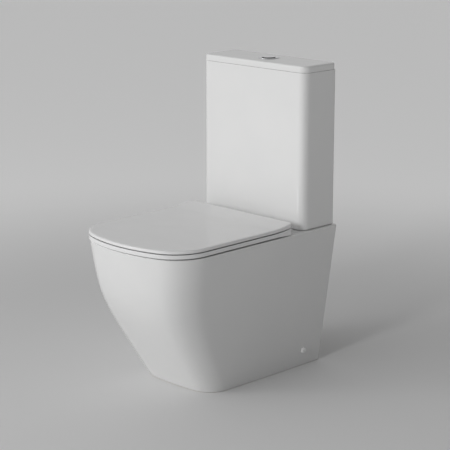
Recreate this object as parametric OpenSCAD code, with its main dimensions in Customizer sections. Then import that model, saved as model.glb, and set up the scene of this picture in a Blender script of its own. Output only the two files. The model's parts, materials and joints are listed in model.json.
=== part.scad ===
// Close coupled toilet, back to wall: skirted china pan, china cistern,
// soft-close seat, dual flush valve, bottom inlet fill valve and fixing kit.
// Millimetres. +Z up, the front faces -Y, the back plane faces +Y.
// The origin is on the floor under the middle of the outline.

/* [Overall] */
// Depth from the seat's front edge to the back plane
depth = 616; // [590:1:640]
// Height of the pan's deck and rim above the floor
rim_h = 400; // [390:1:410]
// Height of the top of the cistern lid above the floor
total_h = 840; // [815:1:865]

/* [Pan] */
// Half width of the pan at the deck, at the back
pan_top_hw = 198.6; // [196:0.1:202]
// Half width of the pan at the floor, at the back
pan_foot_hw = 139.6; // [135:0.1:150]
// Thickness of the china skirt
skirt_t = 14; // [11:1:16]
// Thickness of the china deck
deck_t = 22; // [20:1:24]
// Thickness of the china round the bowl
bowl_t = 11; // [9:1:12]
// Outer diameter of the outlet spigot
spigot_d = 102; // [98:1:106]
// Height of the outlet's centre line
spigot_z = 180; // [178:1:184]

/* [Cistern] */
// Half width of the cistern
cis_hw = 189.4; // [188:0.1:192]
// Depth of the cistern
cis_d = 127.8; // [126:0.1:130]
// Thickness of the cistern walls
cis_t = 9; // [8:0.5:10]
// Height of the cistern lid's edge
lid_h = 17; // [15:1:20]

/* [Seat] */
// Half width of the seat and lid
seat_hw = 195.5; // [194:0.1:197]
// Distance between the two seat fixing holes
hinge_c = 155; // [150:1:160]
// Rise of the lid's back edge above its flat part
lid_rise = 9.5; // [6:0.5:11]

/* [Flush] */
// Outer diameter of the button's bezel
bezel_d = 58; // [54:1:60]
// Diameter of the two buttons together
button_d = 36.2; // [34:0.1:36.4]
// Distance between the cistern's two coupling bolts
bolt_c = 150; // [146:1:156]

/* [Hidden] */
$fn = 48;
yb = depth/2;              // back plane
ysf = -depth/2;            // front edge of the seat
cis_y = yb - cis_d/2;      // middle of the cistern, on which the valves stand
cis_f = yb - cis_d;        // front face of the cistern
deck_u = rim_h - deck_t;   // underside of the deck
fill_x = -130;             // fill valve's axis
hy = yb - 158;             // seat hinge axis
hz = rim_h + 17;
seat_back = yb - 170;      // back edge of the seat and lid

china = [0.93, 0.93, 0.92];
plastic = [0.95, 0.95, 0.94];
chrome = [0.80, 0.81, 0.83];
steel = [0.68, 0.69, 0.71];
rubber = [0.16, 0.16, 0.17];
natural = [0.86, 0.87, 0.88];

// ---------- outlines ----------
// Half outline from the back to the front middle: a straight side, a round
// corner of radius r and a bowed front of radius R, all tangent.
// wb and wf are the half widths at the back and at the front corner.
function half_outline(wb, wf, y0, y1, r, R, rc, n1, n2, n3) =
  let(phi = asin((wf - r)/(R - r)),
      cy = y0 + R - sqrt(pow(R - r, 2) - pow(wf - r, 2)),
      s0 = y1 - rc)
  concat(
    [for (k = [0 : (rc > 0 ? 3 : 0)]) rc > 0
      ? [wb - rc + rc*sin(30*k), s0 + rc*cos(30*k)] : [wb, y1]],
    [for (k = [1 : n1]) let(s = k/(n1 + 1)) [wb + (wf - wb)*pow(s, 3), s0 + (cy - s0)*s]],
    [for (k = [0 : n2]) let(a = -(90 - phi)*k/n2) [wf - r + r*cos(a), cy + r*sin(a)]],
    [for (k = [1 : n3]) let(p = phi*(1 - k/n3)) [R*sin(p), y0 + R - R*cos(p)]]);

// A full ring, counterclockwise from above: the left half, then the right half
function ring_of(h) = let(n = len(h))
  concat([for (k = [0 : n - 1]) [-h[k][0], h[k][1]]], [for (k = [n - 2 : -1 : 0]) h[k]]);

// A solid through rings of equal length; each cap is a strip across x
module strip_loft(rings) {
  n = len(rings[0]); m = len(rings); h = floor(n/2); t = (m - 1)*n;
  polyhedron(points = [for (r = rings) each r], faces = concat(
    [for (k = [0 : h - 1]) each k < h - 1
      ? [[k, k + 1, n - 1 - k], [k + 1, n - 2 - k, n - 1 - k]] : [[k, k + 1, k + 2]]],
    [for (k = [0 : h - 1]) each k < h - 1
      ? [[t + k, t + n - 1 - k, t + k + 1], [t + k + 1, t + n - 1 - k, t + n - 2 - k]]
      : [[t + k, t + k + 2, t + k + 1]]],
    [for (j = [0 : m - 2]) for (i = [0 : n - 1]) let(a = j*n + i, b = j*n + (i + 1)%n)
      each [[a, a + n, b + n], [a, b + n, b]]]));
}

// ---------- pan laws ----------
function pan_wb(z) = pan_foot_hw + (pan_top_hw - pan_foot_hw)*z/rim_h;
function pan_wf(z) = pan_wb(z) - 4.6 + 3*z/rim_h;
// A straight rake at the foot that turns upright under the rim
function pan_front(z) = yb - 427 - 0.65*z + 16.16*ln(1 + exp((z - rim_h + 150)/32));
function pan_r(z) = 62 + 43*z/rim_h;
function pan_R(z) = 1/(1/700 + (1/400 - 1/700)*z/rim_h);
function pan_ring(z, i, y1, zo) = [for (p = ring_of(half_outline(pan_wb(z) - i, pan_wf(z) - i,
  pan_front(z) + i, y1, pan_r(z) - i, pan_R(z) - i, 0, 4, 7, 3))) [p[0], p[1], zo]];

// ---------- bowl laws: z, half width, half length, middle y ----------
BOWL = [[118, 20, 20, 16], [130, 38, 40, 12], [155, 50, 55, 2], [190, 66, 74, -15],
  [225, 84, 97, -33], [260, 106, 124, -50], [300, 128, 152, -66], [340, 142, 171, -76],
  [375, 149, 181, -80]];
function bowl_ring(a, b, c, z, n) = [for (k = [0 : n - 1]) let(t = 360*k/n, q = 2/2.5)
  [a*sign(cos(t))*pow(abs(cos(t)), q), c + b*sign(sin(t))*pow(abs(sin(t)), q), z]];
module fan_loft(rings) {
  n = len(rings[0]); m = len(rings); t = (m - 1)*n;
  polyhedron(points = [for (r = rings) each r], faces = concat(
    [[for (k = [0 : n - 1]) k]], [[for (k = [n - 1 : -1 : 0]) t + k]],
    [for (j = [0 : m - 2]) for (i = [0 : n - 1]) let(a = j*n + i, b = j*n + (i + 1)%n)
      each [[a, a + n, b + n], [a, b + n, b]]]));
}

// ---------- trapway ----------
TRAP = [[22, 150], [50, 148], [80, 156], [104, 176], [124, 204], [144, 232], [168, 247],
  [194, 238], [214, 212], [230, 190], [244, 181]];
module trap_tube(r, y_end, n = 16) {
  P = concat(TRAP, [[y_end, spigot_z]]);
  m = len(P);
  function dir(k) = let(a = P[max(k - 1, 0)], b = P[min(k + 1, m - 1)], l = norm(b - a)) (b - a)/l;
  rings = [for (k = [0 : m - 1]) let(d = dir(k)) [for (i = [0 : n - 1]) let(t = 360*i/n)
    [r*cos(t), P[k][0] - d[1]*r*sin(t), P[k][1] + d[0]*r*sin(t)]]];
  polyhedron(points = [for (q = rings) each q], faces = concat(
    [[for (k = [n - 1 : -1 : 0]) k]], [[for (k = [0 : n - 1]) (m - 1)*n + k]],
    [for (j = [0 : m - 2]) for (i = [0 : n - 1]) let(a = j*n + i, b = j*n + (i + 1)%n)
      each [[a, b + n, a + n], [a, b, b + n]]]));
}

// Places children on the pan's side wall, their +Z pointing straight out of the wall
side_z = 46.6; side_y = yb - 73.5;
module at_side(s) translate([s*pan_wb(side_z), side_y, side_z])
  rotate([0, s*(90 + atan((pan_top_hw - pan_foot_hw)/rim_h)), 0]) children();
module both() { for (s = [-1, 1]) translate([s*hinge_c/2, hy, 0]) children(); }
module tube(od, id, h) difference() { cylinder(d = od, h = h); translate([0, 0, -1]) cylinder(d = id, h = h + 2); }

// The pan is one fired piece. It is held as four nodes that meet face to face:
// the skirt with its deck, the bowl, the trapway and the flush duct.
module bowl_void() fan_loft([for (L = concat(BOWL, [[rim_h + 2, 150, 182, -80]]))
  bowl_ring(L[1], L[2], L[3], L[0], 36)]);
module bowl_outer() fan_loft(concat([for (L = concat([[107, 20, 20, 16]], BOWL))
  bowl_ring(L[1] + bowl_t, L[2] + bowl_t, L[3], L[0] < 118 ? L[0] : max(L[0] - 3, 116), 36)],
  [bowl_ring(150 + bowl_t, 182 + bowl_t, -80, deck_u, 36)]));
module duct_way() translate([-35, 86, rim_h - 59]) cube([70, 195, 38]);

module pan() color(china) difference() {
  strip_loft([for (L = [[0, 2], [3, 0], [45, 0], [90, 0], [135, 0], [175, 0], [205, 0], [235, 0],
    [265, 0], [300, 0], [340, 0], [375, 0], [395, 0], [398.4, 1.4], [400, 4.6]])
    pan_ring(L[0]*rim_h/400, L[1], yb, L[0]*rim_h/400)]);
  strip_loft([for (L = [[0, -1], [60, 60], [120, 120], [175, 175], [215, 215], [255, 255],
    [300, 300], [deck_u, deck_u]]) pan_ring(L[0], skirt_t, yb + 20, L[1])]);
  bowl_void();
  translate([0, cis_y, deck_u - 2]) cylinder(d = 62, h = deck_t + 3);
  translate([0, cis_y, rim_h - 14]) cylinder(d = 96, h = 15);
  for (s = [-1, 1]) {
    translate([s*bolt_c/2, cis_y, deck_u - 2]) cylinder(d = 13, h = deck_t + 4);
    translate([s*hinge_c/2, hy, deck_u - 2]) cylinder(d = 15, h = deck_t + 4);
    at_side(s) translate([0, 0, -24]) cylinder(d = 14, h = 36);
  }
  translate([fill_x, cis_y, deck_u - 2]) cylinder(d = 46, h = deck_t + 4);
}
module bowl() color(china) difference() {
  bowl_outer();
  bowl_void();
  trap_tube(26, 120);
  duct_way();
}
module trapway() color(china) difference() {
  union() {
    trap_tube(26 + bowl_t, 252);
    translate([0, yb - 8, spigot_z]) rotate([90, 0, 0]) cylinder(d = spigot_d, h = 54);
  }
  bowl_outer();
  trap_tube(26, 262);
  translate([0, yb + 1, spigot_z]) rotate([90, 0, 0]) cylinder(d = spigot_d - 18, h = 52);
}
// A channel from the cistern inlet to the bowl, closed on top by the deck
module flush_duct() color(china) difference() {
  translate([-46, 96, rim_h - 70]) cube([92, 196, deck_u - rim_h + 70]);
  duct_way();
  bowl_outer();
}

// ---------- cistern ----------
module cis_2d(i, rf, rb) {
  w = cis_hw - i; y0 = cis_f + i; y1 = yb - i;
  translate([-w + rf, y0]) square([2*(w - rf), y1 - y0 - rb]);
  translate([-w, y0 + rf]) square([2*w, y1 - y0 - rf - rb]);
  translate([-w + rb, y1 - rb - 1]) square([2*(w - rb), rb + 1]);
  for (s = [-1, 1]) {
    translate([s*(w - rf), y0 + rf]) circle(r = rf);
    translate([s*(w - rb), y1 - rb]) circle(r = rb);
  }
}
tank_top = total_h - lid_h - 1;
floor_z = rim_h + 26;
module cistern_tank() color(china) difference() {
  translate([0, 0, rim_h]) linear_extrude(tank_top - rim_h) cis_2d(0, 22, 12);
  translate([0, 0, floor_z]) linear_extrude(tank_top - floor_z + 1) cis_2d(cis_t, 8, 8);
  translate([0, 0, rim_h - 1]) linear_extrude(17) cis_2d(cis_t, 14, 8);
  translate([0, cis_y, rim_h + 10]) cylinder(d = 63, h = 20);
  for (s = [-1, 1]) translate([s*bolt_c/2, cis_y, rim_h + 10]) cylinder(d = 10, h = 20);
  translate([fill_x, cis_y, rim_h + 10]) cylinder(d = 23, h = 20);
}
function lid_ring(i, z) = [for (p = ring_of(let(w = cis_hw - i, y0 = cis_f + i, y1 = yb - i, r = 22 - i, q = 18 - i)
  concat([for (k = [0 : 4]) [w - q + q*sin(22.5*k), y1 - q + q*cos(22.5*k)]],
    [for (k = [0 : 5]) [w - r + r*cos(18*k), y0 + r - r*sin(18*k)]], [[0, y0]]))) [p[0], p[1], z]];
module cistern_lid() color(china) difference() {
  union() {
    difference() {
      strip_loft([for (L = [[-lid_h, 0.6], [-lid_h + 0.8, 0], [-4.5, 0], [-2, 0.6], [-0.7, 2], [0, 4.8]])
        lid_ring(L[1], total_h + L[0])]);
      translate([0, 0, total_h - lid_h - 1]) linear_extrude(lid_h - 8.5) cis_2d(10, 12, 8);
    }
    for (s = [-1, 1]) translate([s*175 - 3, cis_y - 40, total_h - 28]) cube([6, 80, 19]);
  }
  translate([0, cis_y, total_h - 20]) cylinder(d = 40, h = 30);
}
module lid_pads() color(natural) for (s = [-1, 1]) for (y = [-40, 40])
  translate([s*(cis_hw - cis_t/2), cis_y + y, tank_top]) cylinder(d = 6, h = 1, $fn = 24);

// ---------- seat ----------
function rise(y) = let(t = max(0, min(1, (y - seat_back + 75)/75))) pow(t, 1.75);
function seat_ring_pts(i, z, up, dn) = [for (p = ring_of(half_outline(seat_hw - i, seat_hw - i, ysf + i,
  seat_back - i, 108 - i, 400 - i, 14 - i, 6, 8, 4)))
  [p[0], p[1], z + up*rise(p[1]) - dn*max(0, min(1, (p[1] - seat_back + 55)/35))]];
module barrel(x0, x1, od) translate([x0, hy, hz]) rotate([0, 90, 0]) cylinder(d = od, h = x1 - x0);
module seat_ring() color(plastic) difference() {
  union() {
    strip_loft([for (L = [[3.5, 1.2, 0, 2.6], [4.6, 0, 0.3, 2.5], [12, 0, 5.6, 0.6], [13.8, 1, 6.1, 0], [14.2, 3, 6.2, 0]])
      seat_ring_pts(L[1], rim_h + L[0], L[2], L[3])]);
    for (s = [-1, 1]) {
      barrel(s*105 - 16, s*105 + 16, 20);
      translate([s*105 - 16, seat_back - 5, rim_h + 8]) cube([32, 17, 10]);
    }
  }
  // the opening, and room for the hinge posts
  translate([0, 0, rim_h - 5]) linear_extrude(40) polygon([for (p = bowl_ring(118, 147, -85, 0, 48)) [p[0], p[1]]]);
  for (s = [-1, 1]) translate([s*hinge_c/2 - 11, seat_back - 9, rim_h - 2]) cube([22, 30, 40]);
  barrel(80, 130, 8.12);
  barrel(-130, -80, 8.12);
  barrel(-122, -88, 14);
}
module seat_lid() color(plastic) difference() {
  union() {
    difference() {
      strip_loft([for (L = [[16.2, 1, 6.4], [17.0, 0, 6.5], [22, 0, 8.2], [24, 0.8, 9], [24.8, 2.2, 9.4], [25, 4, 9.5]])
        seat_ring_pts(L[1], rim_h + L[0], L[2]*lid_rise/9.5, 0)]);
      translate([0, 0, rim_h + 10]) linear_extrude(9.5) polygon([for (p = bowl_ring(148, 200, -100, 0, 40)) [p[0], min(p[1], 55)]]);
    }
    for (s = [-1, 1]) {
      barrel(s*50 - 16, s*50 + 16, 20);
      translate([s*50 - 16, seat_back - 5, rim_h + 23.2]) cube([32, 14, 4.6]);
    }
  }
  for (s = [-1, 1]) translate([s*hinge_c/2 - 11, seat_back - 9, rim_h - 2]) cube([22, 30, 30]);
  barrel(20, 80, 8.12);
  barrel(-80, -20, 8.12);
  barrel(33, 67, 14);
}
module ring_buffers() color(rubber) for (s = [-1, 1]) for (p = [[122, -222], [152, 20]])
  translate([s*p[0], p[1], rim_h + 0.3]) cylinder(d = 16, h = 3.2);
module lid_buffers() color(rubber) for (s = [-1, 1]) for (p = [[150, -214], [157, 30]])
  translate([s*p[0], p[1], rim_h + 14.5]) cylinder(d = 9, h = 1.7);
module hinge_posts() color(chrome) for (s = [-1, 1]) difference() {
  union() {
    translate([s*hinge_c/2, hy, rim_h + 3]) cylinder(d = 15, h = 12);
    barrel(s*hinge_c/2 - 9.5, s*hinge_c/2 + 9.5, 17);
  }
  barrel(s*hinge_c/2 - 12, s*hinge_c/2 + 12, 8);
}
module hinge_pins() color(steel) for (s = [-1, 1]) barrel(s*77.5 - 45, s*77.5 + 45, 8);
module hinge_rosettes() color(chrome) both() rotate_extrude() polygon([[3.2, rim_h], [15, rim_h], [15, rim_h + 1.6],
  [13.4, rim_h + 3], [3.2, rim_h + 3]]);
module hinge_studs() color(steel) both() translate([0, 0, rim_h - 52]) cylinder(d = 6, h = 55);
module hinge_bushes() color(rubber) both() translate([0, 0, deck_u - 8]) difference() {
  union() { cylinder(d = 26, h = 8); cylinder(d = 14.6, h = 26); }
  translate([0, 0, -1]) cylinder(d = 6.2, h = 30);
}
module hinge_nuts() color(natural) both() translate([0, 0, deck_u - 22]) difference() {
  union() { cylinder(d = 24, h = 14, $fn = 6); translate([0, 0, 11]) cylinder(d = 26, h = 3); }
  translate([0, 0, -1]) cylinder(d = 6.1, h = 20);
}
module damper(x0, x1) difference() { barrel(x0, x1, 13.96); barrel(x0 - 1, x1 + 1, 8.12); }
module ring_damper() color("dimgray") damper(-120, -90);
module lid_damper() color("dimgray") damper(35, 65);

// ---------- button unit, on the cistern lid ----------
module at_valve(z) translate([0, cis_y, z]) children();
module button_bezel() color(chrome) at_valve(total_h) difference() {
  rotate_extrude() polygon([[19.8, 0], [bezel_d/2, 0],
    [bezel_d/2, 0.7], [bezel_d/2 - 1.2, 1.7], [bezel_d/2 - 3.5, 2], [18.5, 2], [18.4, -20], [0, -20], [0, -21.5],
    [16, -21.5], [16, -34], [19.8, -34]]);
  for (x = [8, -11]) translate([x, 0, -25]) cylinder(d = 6.2, h = 10);
}
module half_disc(r, x0, x1, h) intersection() {
  cylinder(r = r, h = h);
  translate([x0, -30, -1]) cube([x1 - x0, 60, h + 2]);
}
module spring_at(x) at_valve(total_h - 20) translate([x, 0, 0.5]) {
  n = 8; turns = 4; st = 12*turns; rr = 4.4; w = 0.45; H = 11.6;
  rings = [for (k = [0 : st]) let(t = 360*turns*k/st) [for (i = [0 : n - 1]) let(a = 360*i/n)
    [(rr + w*cos(a))*cos(t), (rr + w*cos(a))*sin(t), 0.5 + H*k/st + w*sin(a)]]];
  polyhedron(points = [for (q = rings) each q], faces = concat(
    [[for (k = [0 : n - 1]) k]], [[for (k = [n - 1 : -1 : 0]) st*n + k]],
    [for (j = [0 : st - 1]) for (i = [0 : n - 1]) let(a = j*n + i, b = j*n + (i + 1)%n)
      each [[a, a + n, b + n], [a, b + n, b]]]));
}
module button(x0, x1, cx) at_valve(total_h) difference() {
  union() {
    translate([0, 0, -7]) half_disc(button_d/2, x0, x1, 9.5);
    translate([0, 0, 2.5]) half_disc(button_d/2 - 0.8, x0 + 0.6, x1 - 0.6, 1);
    translate([cx, 0, -10]) cylinder(d = 7, h = 4);
  }
  translate([cx, 0, -12]) cylinder(d = 5.04, h = 10);
}
module full_flush_button() color(chrome) button(-2.6, 19, 8);
module half_flush_button() color(chrome) button(-19, -3.4, -11);
module full_button_spring() color(steel) spring_at(8);
module half_button_spring() color(steel) spring_at(-11);
rod_z = total_h - 166;     // lower end of the push rods
module full_push_rod() color(natural) at_valve(rod_z) translate([8, 0, 0]) cylinder(d = 5, h = total_h - 4 - rod_z);
module half_push_rod() color(natural) at_valve(rod_z) translate([-11, 0, 0]) cylinder(d = 5, h = total_h - 4 - rod_z);
module bezel_nut() color(natural) at_valve(total_h - 20) difference() {
  union() { cylinder(d = 52, h = 9.5); cylinder(d = 56, h = 4); }
  translate([0, 0, -1]) cylinder(d = 39.7, h = 20);
}
module bezel_washer() color(rubber) at_valve(total_h - 10.5) tube(52, 40.2, 1);

// ---------- flush valve ----------
module flush_valve_base() color(natural) at_valve(0) rotate_extrude() polygon([[25, rim_h - 20], [30, rim_h - 20],
  [30, floor_z + 3], [45, floor_z + 3], [45, floor_z + 6], [28, floor_z + 6], [28, floor_z + 7.5], [25, floor_z + 7.5]]);
module flush_valve_washer() color(rubber) at_valve(floor_z) tube(88, 60.1, 3);
module flush_valve_backnut() color(natural) at_valve(rim_h + 5) difference() {
  union() { cylinder(d = 76, h = 11, $fn = 8); translate([0, 0, 8]) cylinder(d = 76, h = 3); }
  translate([0, 0, -1]) cylinder(d = 60.1, h = 20);
}
valve_top = rod_z - 24;
module flush_valve_frame() color(natural) at_valve(0) {
  for (a = [45 : 90 : 315]) rotate([0, 0, a]) translate([33.5, -4, floor_z + 6]) cube([6, 8, valve_top - floor_z - 8]);
  translate([0, 0, floor_z + 6]) difference() { cylinder(d = 84, h = 4); translate([0, 0, -1]) cylinder(d = 66, h = 6); }
  for (z = [floor_z + 110, valve_top - 8]) translate([0, 0, z]) tube(80, 66, 6);
}
module flush_valve_head() color("lightsteelblue") at_valve(valve_top - 2) difference() {
  union() { cylinder(d = 80, h = 4); cylinder(d = 58, h = 15); }
  translate([0, 0, -1]) cylinder(d = 50, h = 13.5);
  for (x = [8, -11]) translate([x, 0, 0]) cylinder(d = 6.1, h = 30);
}
module overflow_tube() color(natural) at_valve(0) rotate_extrude() polygon([[14.5, floor_z + 2], [17, floor_z + 2],
  [17, floor_z + 12], [29, floor_z + 12], [29, floor_z + 16], [17, floor_z + 20], [17, valve_top - 26],
  [14.5, valve_top - 26]]);
module valve_seal() color(rubber) at_valve(floor_z + 7.8) tube(60, 34.04, 4.2);
module plate(x0, x1, cx) at_valve(rod_z) {
  translate([0, 0, -4.5]) half_disc(19, x0, x1, 4);
  translate([cx, 0, -22]) cylinder(d = 6, h = 18);
}
module full_flush_plate() color("lightsteelblue") plate(-2.6, 20, 8);
module half_flush_plate() color("lightsteelblue") plate(-20, -3.4, -11);

// ---------- fill valve ----------
module at_fill(z) translate([fill_x, cis_y, z]) children();
float_z = rim_h + 165;     // bottom of the float
cap_z = rim_h + 240;       // bottom of the cap
lx = 43;                   // from the lever's pin to the link
module fill_valve_body() color(natural) at_fill(0) difference() {
  union() {
    translate([0, 0, rim_h - 32]) cylinder(d = 20.96, h = 36);
    translate([0, 0, rim_h + 4]) cylinder(d = 20, h = 24);
    translate([0, 0, floor_z + 3]) cylinder(d = 34, h = 5);
    translate([0, 0, floor_z + 6]) cylinder(d = 20, h = cap_z - floor_z - 6);
    translate([0, 0, cap_z - 8]) cylinder(d = 26, h = 8);
  }
  translate([0, 0, rim_h - 33]) cylinder(d = 15, h = 40);
  translate([0, 0, rim_h]) cylinder(d = 10, h = cap_z - rim_h - 12);
  for (a = [0, 90]) rotate([0, 0, a]) translate([-20, -3, floor_z + 14]) cube([40, 6, 20]);
}
module inlet_filter() color("white") at_fill(rim_h - 26) difference() {
  cylinder(d = 14.9, h = 26);
  translate([0, 0, -1]) cylinder(d = 12, h = 24);
}
module fill_valve_washer() color(rubber) at_fill(floor_z) tube(34, 20.1, 3);
module fill_valve_backnut() color(natural) at_fill(rim_h + 6) difference() {
  cylinder(d = 36, h = 10, $fn = 6);
  translate([0, 0, -1]) cylinder(d = 20.1, h = 20);
}
module fill_valve_cap() color("lightsteelblue") at_fill(cap_z) difference() {
  union() {
    cylinder(d = 41, h = 8);
    cylinder(d = 30, h = 12);
    for (s = [-1, 1]) translate([-24, s*7.5 - 2.5, 4]) cube([12, 5, 19]);
  }
  translate([-18, 0, 18]) rotate([90, 0, 0]) cylinder(d = 3, h = 40, center = true);
  // a sloping way for the lever as it drops with the float
  translate([-18, 0, 18]) rotate([0, 16.6, 0]) translate([8, -5.5, -4]) cube([60, 11, 30]);
}
module lever_pin() color(steel) at_fill(cap_z + 18) translate([-18, 0, 0]) rotate([90, 0, 0]) cylinder(d = 3, h = 22, center = true);
module float_lever() color("lightsteelblue") at_fill(cap_z + 18) translate([-18, 0, 0]) difference() {
  union() {
    rotate([90, 0, 0]) cylinder(d = 9, h = 9, center = true);
    translate([0, -4.5, -3]) cube([lx + 8, 9, 6]);
  }
  rotate([90, 0, 0]) cylinder(d = 3.1, h = 40, center = true);
  translate([lx - 4.5, -2.2, -10]) cube([9, 4.4, 20]);
}
module fill_float() color("whitesmoke") at_fill(float_z) difference() {
  cylinder(d = 58, h = 52);
  translate([0, 0, -1]) cylinder(d = 20.16, h = 60);
  translate([0, 0, -1]) difference() { cylinder(d = 54, h = 49); translate([0, 0, -1]) cylinder(d = 24, h = 60); }
}
module float_link() color(steel) at_fill(0) translate([lx - 18, 0, 0]) {
  translate([0, 0, float_z + 52]) cylinder(d = 3, h = cap_z + 28 - float_z - 52);
  translate([0, 0, float_z + 52]) cylinder(d = 6, h = 3);
  translate([0, 0, cap_z + 22.7]) cylinder(d = 7, h = 3);
  translate([0, 0, cap_z + 9.6]) cylinder(d = 7, h = 3);
}

// ---------- close coupling kit ----------
module doughnut_gasket() color(rubber) at_valve(0) rotate_extrude() polygon([[31.5, rim_h - 14], [46, rim_h - 14],
  [46, rim_h + 16], [38.6, rim_h + 16], [38.6, rim_h + 4.5], [31.5, rim_h + 4.5]]);
module at_bolts(z) { for (s = [-1, 1]) translate([s*bolt_c/2, cis_y, z]) children(); }
module coupling_bolts() color(steel) at_bolts(0) {
  translate([0, 0, deck_u - 26]) cylinder(d = 8, h = floor_z + 3 - deck_u + 26);
  translate([0, 0, floor_z + 3]) cylinder(d = 17, h = 4.5, $fn = 6);
}
module coupling_seals() color(rubber) at_bolts(floor_z) tube(26, 8.1, 3);
module coupling_washers() color(steel) at_bolts(deck_u - 2) tube(24, 8.4, 2);
module coupling_wing_nuts() color(steel) at_bolts(deck_u - 14) difference() {
  union() {
    cylinder(d = 16, h = 12);
    for (s = [-1, 1]) rotate([0, 0, 90]) translate([s*12 - 6, -2, 0]) cube([12, 4, 9]);
  }
  translate([0, 0, -1]) cylinder(d = 8.1, h = 20);
}

// ---------- floor fixing kit ----------
bx = pan_wb(side_z) - 19;  // outer face of the brackets
module side_brackets() color("dimgray") for (s = [-1, 1]) difference() {
  union() {
    translate([s*(bx - 21) - 17, side_y - 20, 0]) cube([34, 40, 8]);
    translate([s*(bx - 9) - 5, side_y - 14, 7]) cube([10, 28, 62]);
  }
  translate([s*(bx - 25), side_y, -1]) cylinder(d = 8, h = 20);
  at_side(s) translate([0, 0, -60]) cylinder(d = 6, h = 80);
}
module side_screws() color(steel) for (s = [-1, 1]) at_side(s) {
  translate([0, 0, -34]) cylinder(d = 6, h = 35);
  translate([0, 0, 1]) cylinder(d = 11, h = 2.4);
}
module screw_sleeves() color(natural) for (s = [-1, 1]) at_side(s) difference() {
  union() { translate([0, 0, -12]) cylinder(d = 13.9, h = 12.5); translate([0, 0, 0.1]) cylinder(d = 15.6, h = 0.9); }
  translate([0, 0, -20]) cylinder(d = 6.1, h = 40);
}
module side_caps() color(plastic) for (s = [-1, 1]) at_side(s) rotate_extrude() polygon([[8, 0.2], [8.6, 0.2],
  [8.6, 4.4], [7.6, 6.3], [5.4, 7], [0, 7], [0, 4.2], [8, 4.2]]);

pan();
bowl();
trapway();
flush_duct();
cistern_tank();
cistern_lid();
seat_ring();
seat_lid();
ring_buffers();
lid_buffers();
hinge_posts();
hinge_pins();
hinge_rosettes();
hinge_studs();
hinge_bushes();
hinge_nuts();
ring_damper();
lid_damper();
button_bezel();
full_flush_button();
half_flush_button();
bezel_nut();
bezel_washer();
full_button_spring();
half_button_spring();
full_push_rod();
half_push_rod();
lid_pads();
flush_valve_base();
flush_valve_washer();
flush_valve_backnut();
flush_valve_frame();
flush_valve_head();
overflow_tube();
valve_seal();
full_flush_plate();
half_flush_plate();
fill_valve_body();
fill_valve_washer();
fill_valve_backnut();
fill_valve_cap();
fill_float();
float_link();
float_lever();
lever_pin();
inlet_filter();
doughnut_gasket();
coupling_bolts();
coupling_seals();
coupling_washers();
coupling_wing_nuts();
side_brackets();
side_screws();
screw_sleeves();
side_caps();
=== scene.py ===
import bpy, bmesh, json, math
import numpy as np
from mathutils import Matrix, Vector


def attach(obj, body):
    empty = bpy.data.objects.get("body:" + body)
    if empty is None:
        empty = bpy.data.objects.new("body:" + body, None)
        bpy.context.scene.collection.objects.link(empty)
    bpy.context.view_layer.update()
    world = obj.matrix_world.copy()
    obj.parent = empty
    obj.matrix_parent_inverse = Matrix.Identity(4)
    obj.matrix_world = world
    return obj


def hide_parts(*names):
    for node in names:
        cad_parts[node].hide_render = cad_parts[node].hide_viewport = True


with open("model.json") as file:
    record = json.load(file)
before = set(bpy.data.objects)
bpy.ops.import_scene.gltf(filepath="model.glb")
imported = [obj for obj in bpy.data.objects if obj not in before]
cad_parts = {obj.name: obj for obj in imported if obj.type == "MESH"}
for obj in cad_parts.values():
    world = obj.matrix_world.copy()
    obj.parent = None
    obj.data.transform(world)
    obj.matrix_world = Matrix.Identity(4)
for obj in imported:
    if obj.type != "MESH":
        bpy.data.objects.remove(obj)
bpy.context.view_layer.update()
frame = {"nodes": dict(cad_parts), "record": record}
NODES = frame["nodes"]
scene = bpy.context.scene
MM = 0.001

# ------------------------------------------------------------------ camera
cam_data = bpy.data.cameras.new("camera")
cam_data.lens = 121.44
cam_data.sensor_width = 36.0
cam_data.sensor_fit = "HORIZONTAL"
cam_data.clip_end = 200.0
cam = bpy.data.objects.new("camera", cam_data)
scene.collection.objects.link(cam)
cam.location = (2.808, -2.733, 1.391)
cam.rotation_euler = (math.radians(90.0 - 13.96), 0.0, math.radians(44.98))
scene.camera = cam

# ------------------------------------------------------------------ mesh helpers
def make(name, verts, faces):
    """A mesh object from millimetre points."""
    me = bpy.data.meshes.new(name)
    me.from_pydata([tuple(v) for v in (np.asarray(verts, float)*MM)], [], faces)
    me.validate()
    ob = bpy.data.objects.new(name, me)
    scene.collection.objects.link(ob)
    return ob


def loft(name, rings, caps=True, closed=False):
    """Rings of equal length, each counterclockwise from outside their direction of travel."""
    n, m = len(rings[0]), len(rings)
    V = np.concatenate([np.asarray(r, float) for r in rings])
    F = []
    for j in range(m if closed else m - 1):
        a0, b0 = j*n, ((j + 1) % m)*n
        for i in range(n):
            k = (i + 1) % n
            F.append((a0 + i, a0 + k, b0 + k, b0 + i))
    if caps and not closed:
        F.append(tuple(range(n - 1, -1, -1)))
        F.append(tuple((m - 1)*n + i for i in range(n)))
    ob = make(name, V, F)
    bm = bmesh.new(); bm.from_mesh(ob.data)
    bmesh.ops.recalc_face_normals(bm, faces=bm.faces)
    bm.to_mesh(ob.data); bm.free()
    return ob


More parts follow.
